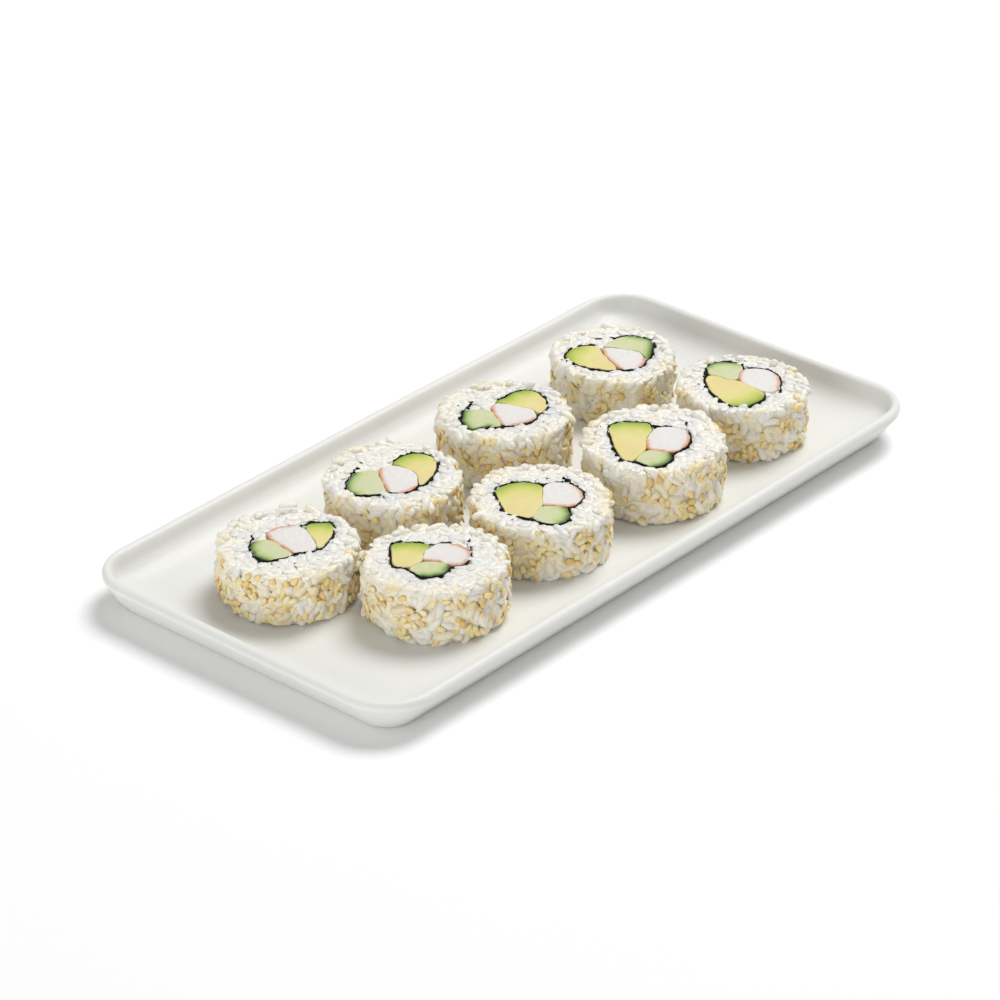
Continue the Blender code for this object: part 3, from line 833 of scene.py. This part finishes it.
# what stands over a face pressed down onto it: a soft minimum of the height and the ceiling
def pressUnder(height, ceiling, softness):
    return ceiling - softness * np.logaddexp(0, (ceiling - height) / softness)


# directions out of a roll's side, leaning up by rise, and round it, at each angle
def sideDirections(angle, rise=0.0):
    outward = np.column_stack((np.cos(angle), np.sin(angle), np.full(len(angle), rise)))
    sideways = np.column_stack((-np.sin(angle), np.cos(angle), np.zeros(len(angle))))
    return outward, sideways


# directions out of the upper cut face and along it
def topDirections(count):
    return np.tile([0.0, 0.0, 1.0], (count, 1)), np.tile([1.0, 0.0, 0.0], (count, 1))


# grains on the side: jittered rows and columns, every second row half a column further round
def sideGrains(roll, dice):
    shape = grainShape
    rowCount = max(6, round(roll["height"] / shape["sideSpacing"]))
    columnCount = round(tau * roll["radius"] / shape["sideSpacing"])
    row, column = np.meshgrid(np.arange(rowCount), np.arange(columnCount), indexing="ij")
    row, column = row.reshape(-1), column.reshape(-1)
    count = len(row)
    angle = tau * (column + 0.5 * (row % 2) + dice.uniform(-0.35, 0.35, count)) / columnCount
    share = np.clip((row + 0.5 + dice.uniform(-0.4, 0.4, count)) / rowCount, 0.04, 0.98)
    outward, sideways = sideDirections(angle)
    far = riceReach(roll["reach"], angle, share) - shape["sideDepth"]
    far = far + dice.normal(0, shape["sideScatter"], count)
    spots = roll["middle"] + outward[:, :2] * far[:, None]
    places = np.column_stack((spots, roll["bottom"] + share * roll["height"]))
    spin, tip = dice.uniform(0, math.pi, count), dice.normal(0, 0.22, count)
    return places, surfaceAxes(outward, sideways, spin, tip)


# grains in the upper cut face: a jittered grid of triangles, kept between the hole and the rim
def topGrains(roll, dice):
    shape = grainShape
    spacing = shape["topSpacing"]
    steps = np.arange(-shape["topReach"], shape["topReach"], spacing)
    gridX, gridY = np.meshgrid(steps, steps * 0.87)
    gridX = gridX + (np.arange(len(steps)) % 2)[:, None] * spacing / 2
    spots = np.column_stack((gridX.reshape(-1), gridY.reshape(-1)))
    spots = spots + dice.uniform(-0.4, 0.4, spots.shape) * spacing
    angle = np.arctan2(spots[:, 1], spots[:, 0])
    far = np.linalg.norm(spots, axis=1)
    isPastHole = far > roll["holeReach"](angle) + shape["fromHole"]
    isInsideRim = far < roll["reach"](angle) - shape["fromRim"]
    spots = roll["middle"] + spots[isPastHole & isInsideRim]
    count = len(spots)
    height = planeHeight(roll["plane"], *spots.T) - shape["topDepth"]
    height = height + dice.normal(0, shape["topScatter"], count)
    spin, tip = dice.uniform(0, tau, count), dice.normal(0, 0.45, count)
    return np.column_stack((spots, height)), surfaceAxes(*topDirections(count), spin, tip)


# loose grains along the upper rim, leaning out of it every way. On one roll the first of them lies
# by itself on the rim instead
def looseGrains(roll, dice):
    shape = grainShape
    count = shape["loose"]
    angle = dice.uniform(0, tau, count)
    outward, sideways = sideDirections(angle, 0.8)
    far = roll["reach"](angle) - dice.uniform(*shape["looseInset"], count)
    spots = roll["middle"] + outward[:, :2] * far[:, None]
    height = planeHeight(roll["plane"], *spots.T) - dice.uniform(*shape["looseDepth"], count)
    places = np.column_stack((spots, height))
    spin, tip = dice.uniform(0, math.pi, count), dice.normal(0, 0.35, count)
    axes = surfaceAxes(outward, sideways, spin, tip)
    if "strayGrain" in rollLooks[roll["number"]]:
        stray = math.radians(rollLooks[roll["number"]]["strayGrain"]) + rollTurn
        direction = np.array([math.cos(stray), math.sin(stray)])
        places[0, :2] = roll["middle"] + direction * (roll["reach"](stray) - 1.5 * mm)
        places[0, 2] = planeHeight(roll["plane"], *places[0, :2]) + 0.9 * mm
        axes[0] = np.array([[0.77, -0.63, 0.1], [0.63, 0.77, 0.0], [-0.08, 0.06, 1.0]])
    return places, axes


# all grains of a roll in one mesh. Tones: on top pale and cool beside the hole, golden towards a rim
# thick with sesame, and on the side lower than on top, partly as painted shade, and golden where the
# sesame lies thick. Heights: pressed under an uneven ceiling a little over the cut face, and kept over
# the plate
def makeGrains(roll, seaweedLine, dice):
    shape, number = grainShape, roll["number"]
    groups = [sideGrains(roll, dice), topGrains(roll, dice), looseGrains(roll, dice)]
    places = np.vstack([group[0] for group in groups])
    axes = np.concatenate([group[1] for group in groups])
    total, sideCount = len(places), len(groups[0][0])
    sizes = np.column_stack((
        dice.uniform(*shape["length"], total), dice.uniform(*shape["width"], total),
        dice.uniform(*shape["width"], total))) / 2
    fromMiddle = places[:, :2] - roll["middle"]
    turn = np.arctan2(fromMiddle[:, 1], fromMiddle[:, 0])
    far = np.linalg.norm(fromMiddle, axis=1)
    besideHole = 1 - ramp(far - roll["holeReach"](turn), 1 * mm, 5 * mm)
    golden = seedPatches(number, turn, places[:, 2] - roll["bottom"])
    rimNearness = ramp(far, roll["radius"] - 4.5 * mm, roll["radius"] - 1.5 * mm)
    topTones = 0.68 + 0.26 * besideHole + 0.1 * waves(places, 9 * mm, number * 61)
    topTones = topTones - 0.28 * golden * rimNearness
    isTop = np.arange(total) >= sideCount
    # the side grains' lower, more golden tone is partly painted shade of the roll's side
    tones = np.where(isTop, topTones, 0.62 - 0.46 * golden) + dice.normal(0, 0.1, total)
    kernel = kernelShape(8, 5, 2.5, 0.16, 0.06, 0.92)
    vertices, corners, faceSizes, vertexTones = scatterCopies(
        kernel, places, axes, sizes, np.clip(tones, 0, 1))

    stand = dice.normal(-0.02 * mm, 0.08 * mm, total)
    stand = stand + rimNearness * np.abs(dice.normal(0, shape["rimScatter"], total))
    stand[-shape["loose"]:] = shape["looseStand"]
    stand[-shape["loose"]] = shape["firstStand"]
    isBesideSeaweed = nearest(places[:, :2], seaweedLine) < 2.4 * mm
    isRaised = isBesideSeaweed & (dice.uniform(0, 1, total) < 0.35)
    stand = stand + shape["besideSeaweed"] * isRaised
    flat = vertices.reshape(-1, 3)
    ceiling = planeHeight(roll["plane"], flat[:, 0], flat[:, 1]) + np.repeat(stand, vertices.shape[1])
    ceiling = ceiling + 0.16 * mm * waves(flat[:, :2], 6 * mm, number * 53)
    flat[:, 2] = pressUnder(flat[:, 2], ceiling, 0.09 * mm)
    settle = rollLooks[number].get("settle", shape["settle"])
    flat[:, 2] = np.maximum(flat[:, 2], roll["bottom"] - settle)
    name = f"roll_{number}_rice_grains"
    mesh = meshFromArrays(name, flat, corners, faceSizes)
    setValues(mesh, "tone", vertexTones)
    addPiece(name, mesh, looks["grain"], [roll["riceNode"]])
    return total


seedShape = {
    "length": (2.7 * mm, 3.6 * mm),
    "width": (1.7 * mm, 2.25 * mm),
    "thick": (0.9 * mm, 1.2 * mm),
    "apart": 1.7 * mm,
    "stand": (-0.5 * mm, 0.15 * mm),  # of a seed's middle, past the side of the rice
    "lowest": 1.65 * mm,  # of a seed's middle, over the rice's underside: clear of the plate
    "triesPerSeed": 6,
}


# seeds on the side of a roll. Of many random spots, those with the highest liking over a random
# number win, as long as they keep apart. Liking follows the cube of the patches; it falls towards
# the bare angle by a bell curve and towards the upper rim by a ramp
def placeSeeds(roll, dice):
    shape, number = seedShape, roll["number"]
    wanted = rollLooks[number]["seeds"]
    bare = math.radians(rollLooks[number]["bare"]) + rollTurn
    tries = wanted * shape["triesPerSeed"]
    angle = dice.uniform(0, tau, tries)
    share = dice.uniform(0.02, 0.97, tries)
    onSide = np.column_stack((angle * 20 * mm, share * roll["height"]))
    patch = seedPatches(number, angle, share * roll["height"])
    fromBare = np.angle(np.exp(1j * (angle - bare)))
    liking = (0.03 + patch ** 3) * (1 - 0.75 * np.exp(-(fromBare / 0.5) ** 2))
    liking = liking * (1 - 0.55 * ramp(share, 0.7, 0.95))
    chosen = []
    for seed in np.argsort(dice.uniform(0, 1, tries) / liking):
        if len(chosen) == wanted:
            break
        gaps = np.linalg.norm(onSide[chosen] - onSide[seed], axis=1)
        if (gaps > shape["apart"]).all():
            chosen.append(seed)
    angle, share, count = angle[chosen], share[chosen], len(chosen)
    outward, sideways = sideDirections(angle)
    far = riceReach(roll["reach"], angle, share) + dice.uniform(*shape["stand"], count)
    rise = np.maximum(share * roll["height"], shape["lowest"])
    places = np.column_stack((roll["middle"] + outward[:, :2] * far[:, None], roll["bottom"] + rise))
    spin, tip = dice.uniform(0, tau, count), dice.normal(0, 0.22, count)
    return places, surfaceAxes(outward, sideways, spin, tip)


fleckShape = {
    "length": (0.3 * mm, 1.0 * mm),
    "width": (0.25 * mm, 0.6 * mm),
    "thick": (0.15 * mm, 0.3 * mm),
    "onTop": 18,
    "onSide": 10,
}


# flecks of seaweed: on top they thin out exponentially away from the band, on the side they are even
def placeFlecks(roll, seaweedLine, dice):
    onTop, onSide = fleckShape["onTop"], fleckShape["onSide"]
    near = seaweedLine[dice.integers(0, len(seaweedLine), onTop)]
    away = near - roll["middle"]
    away /= np.linalg.norm(away, axis=1)[:, None]
    spots = near + away * dice.exponential(1.6 * mm, onTop)[:, None]
    spots = spots + dice.normal(0, 0.6 * mm, (onTop, 2))
    topPlaces = np.column_stack((spots, planeHeight(roll["plane"], *spots.T) + 0.05 * mm))
    angle = dice.uniform(0, tau, onSide)
    share = dice.uniform(0.3, 0.95, onSide)
    outward, sideways = sideDirections(angle)
    far = riceReach(roll["reach"], angle, share)
    spots = roll["middle"] + outward[:, :2] * far[:, None]
    sidePlaces = np.column_stack((spots, roll["bottom"] + share * roll["height"]))
    upward, level = topDirections(onTop)
    outward, sideways = np.vstack((upward, outward)), np.vstack((level, sideways))
    spin = dice.uniform(0, tau, onTop + onSide)
    tip = dice.normal(0, 0.15, onTop + onSide)
    return np.vstack((topPlaces, sidePlaces)), surfaceAxes(outward, sideways, spin, tip)


rollShape = {"outlineSteps": 180, "outlineSwell": 1.1 * mm, "holeSteps": 240, "holeMargin": 0.45 * mm}


# how far the hole in the rice reaches in any direction: the farthest point of the fillings near it
def holeAround(fillings, middle):
    edges = np.vstack(fillings) - middle
    edgeAngle = np.arctan2(edges[:, 1], edges[:, 0])
    edgeFar = np.linalg.norm(edges, axis=1)
    angles = np.linspace(0, tau, rollShape["holeSteps"], endpoint=False)
    isNear = np.abs(np.angle(np.exp(1j * (angles[:, None] - edgeAngle[None, :])))) < 0.06
    return reachBetween(angles, np.where(isNear, edgeFar, 0).max(axis=1) + rollShape["holeMargin"])


# one whole roll; returns where its seeds and its flecks go
def makeRoll(number):
    shape = rollShape
    dice = np.random.default_rng(100 + number)
    riceNode = f"roll_{number}_rice"
    low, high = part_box(riceNode)
    middle = np.array([(low.x + high.x) / 2, (low.y + high.y) / 2])
    outline = evenLoop(undersideLoops(riceNode)[0], shape["outlineSteps"])
    away = outline - middle
    away = away / np.linalg.norm(away, axis=1)[:, None]
    reach = reachOf(softLoop(outline + away * shape["outlineSwell"], 6), middle)
    plane = upperPlane(riceNode)
    fillings = [makeFilling(number, kind) for kind in ("avocado", "cucumber", "crab")]
    seaweedLine = makeSeaweedBand(number, fillings)
    roll = {
        "number": number,
        "riceNode": riceNode,
        "middle": middle,
        "reach": reach,
        "radius": reach(np.linspace(0, tau, 90)).mean(),
        "holeReach": holeAround(fillings, middle),
        "plane": plane,
        "bottom": low.z,
        "height": planeHeight(plane, *middle) - low.z,
    }
    makePackedRice(roll)
    grainCount = makeGrains(roll, seaweedLine, dice)
    print(f"roll {number} made, {grainCount} grains")
    return placeSeeds(roll, dice), placeFlecks(roll, seaweedLine, dice)


# one mesh of all the copies of a small shape. Their tones are random, and darker round the edge
def makeScattered(name, kernel, shape, scattered, material, seed):
    dice = np.random.default_rng(seed)
    places = np.vstack([group[0] for group in scattered])
    axes = np.concatenate([group[1] for group in scattered])
    count = len(places)
    sides = ("length", "width", "thick")
    sizes = np.column_stack([dice.uniform(*shape[side], count) for side in sides])
    tones = np.clip(dice.normal(0.3, 0.27, count), 0, 0.95)
    vertices, corners, faceSizes, vertexTones = scatterCopies(kernel, places, axes, sizes / 2, tones)
    mesh = meshFromArrays(name, vertices.reshape(-1, 3), corners, faceSizes)
    heights = np.abs(kernel[0][:, 2])
    edge = np.tile(1 - heights / heights.max(), count)
    setValues(mesh, "tone", np.clip(vertexTones + 0.45 * edge ** 2, 0, 1))
    addPiece(name, mesh, material)


seeds, flecks = zip(*[makeRoll(number) for number in range(1, rollCount + 1)])
makeScattered("sesame_seeds", kernelShape(8, 5, 2.0, 0.0, 0.28, 1.0), seedShape, seeds,
              looks["sesame"], 5)
makeScattered("seaweed_flecks", kernelShape(5, 2, 1.6, 0.3, 0.3, 0.8), fleckShape, flecks,
              looks["seaweed"], 6)
print("seeds and flecks made")


studio = {
    "azimuth": -49.107,
    "elevation": 29.465,
    "distance": 1.35,
    "target": (5.05 * mm, 9.8 * mm, 0.0),
    "lens": 157.33,
    "worldLight": 0.4,
    "key": {"power": 49.5, "size": 1.4, "place": (1.33, 0.065, 2.16)},
    "fill": {"power": 17.5, "size": 1.5, "place": (-1.86, -0.28, 0.3)},
    "floorSize": 4.0,
    "floorColour": (0.95, 0.95, 0.95, 1),
    "sensor": 36,
}


# pale square under the plate, with the world's origin at its middle
def makeFloor():
    half = studio["floorSize"] / 2
    corners = [(-half, -half, 0), (half, -half, 0), (half, half, 0), (-half, half, 0)]
    mesh = bpy.data.meshes.new("floor")
    mesh.from_pydata(corners, [], [(0, 1, 2, 3)])
    floor = bpy.data.objects.new("floor", mesh)
    bpy.context.scene.collection.objects.link(floor)
    material, _, shader = newMaterial("paleFloor", 0.9, Specular_IOR_Level=0.1)
    shader.inputs["Base Color"].default_value = studio["floorColour"]
    mesh.materials.append(material)


# even light from all round, and two round lamps that face the origin
def makeLight():
    world = bpy.data.worlds.new("studio")
    bpy.context.scene.world = world
    world.use_nodes = True
    background = world.node_tree.nodes["Background"]
    background.inputs["Color"].default_value = (1.0, 1.0, 1.0, 1)
    background.inputs["Strength"].default_value = studio["worldLight"]
    for lampName in ("key", "fill"):
        values = studio[lampName]
        lamp = bpy.data.lights.new(lampName, "AREA")
        lamp.shape = "DISK"
        lamp.size = values["size"]
        lamp.energy = values["power"]
        stand = bpy.data.objects.new(lampName, lamp)
        stand.location = values["place"]
        stand.rotation_mode = "QUATERNION"
        stand.rotation_quaternion = Vector(values["place"]).to_track_quat("Z", "Y")
        bpy.context.scene.collection.objects.link(stand)


# camera at a distance from its target, back along the direction of azimuth and elevation
def makeCamera():
    azimuth, elevation = math.radians(studio["azimuth"]), math.radians(studio["elevation"])
    level = math.cos(elevation)
    back = Vector((math.sin(azimuth) * level, -math.cos(azimuth) * level, math.sin(elevation)))
    data = bpy.data.cameras.new("camera")
    data.lens = studio["lens"]
    data.sensor_width = studio["sensor"]
    data.clip_start = 0.05
    data.clip_end = 20
    camera = bpy.data.objects.new("camera", data)
    camera.location = Vector(studio["target"]) + back * studio["distance"]
    camera.rotation_mode = "QUATERNION"
    camera.rotation_quaternion = back.to_track_quat("Z", "Y")
    bpy.context.scene.collection.objects.link(camera)
    bpy.context.scene.camera = camera


makeFloor()
makeLight()
makeCamera()
bpy.context.scene.view_settings.view_transform = "Standard"
print("floor, light and camera placed")
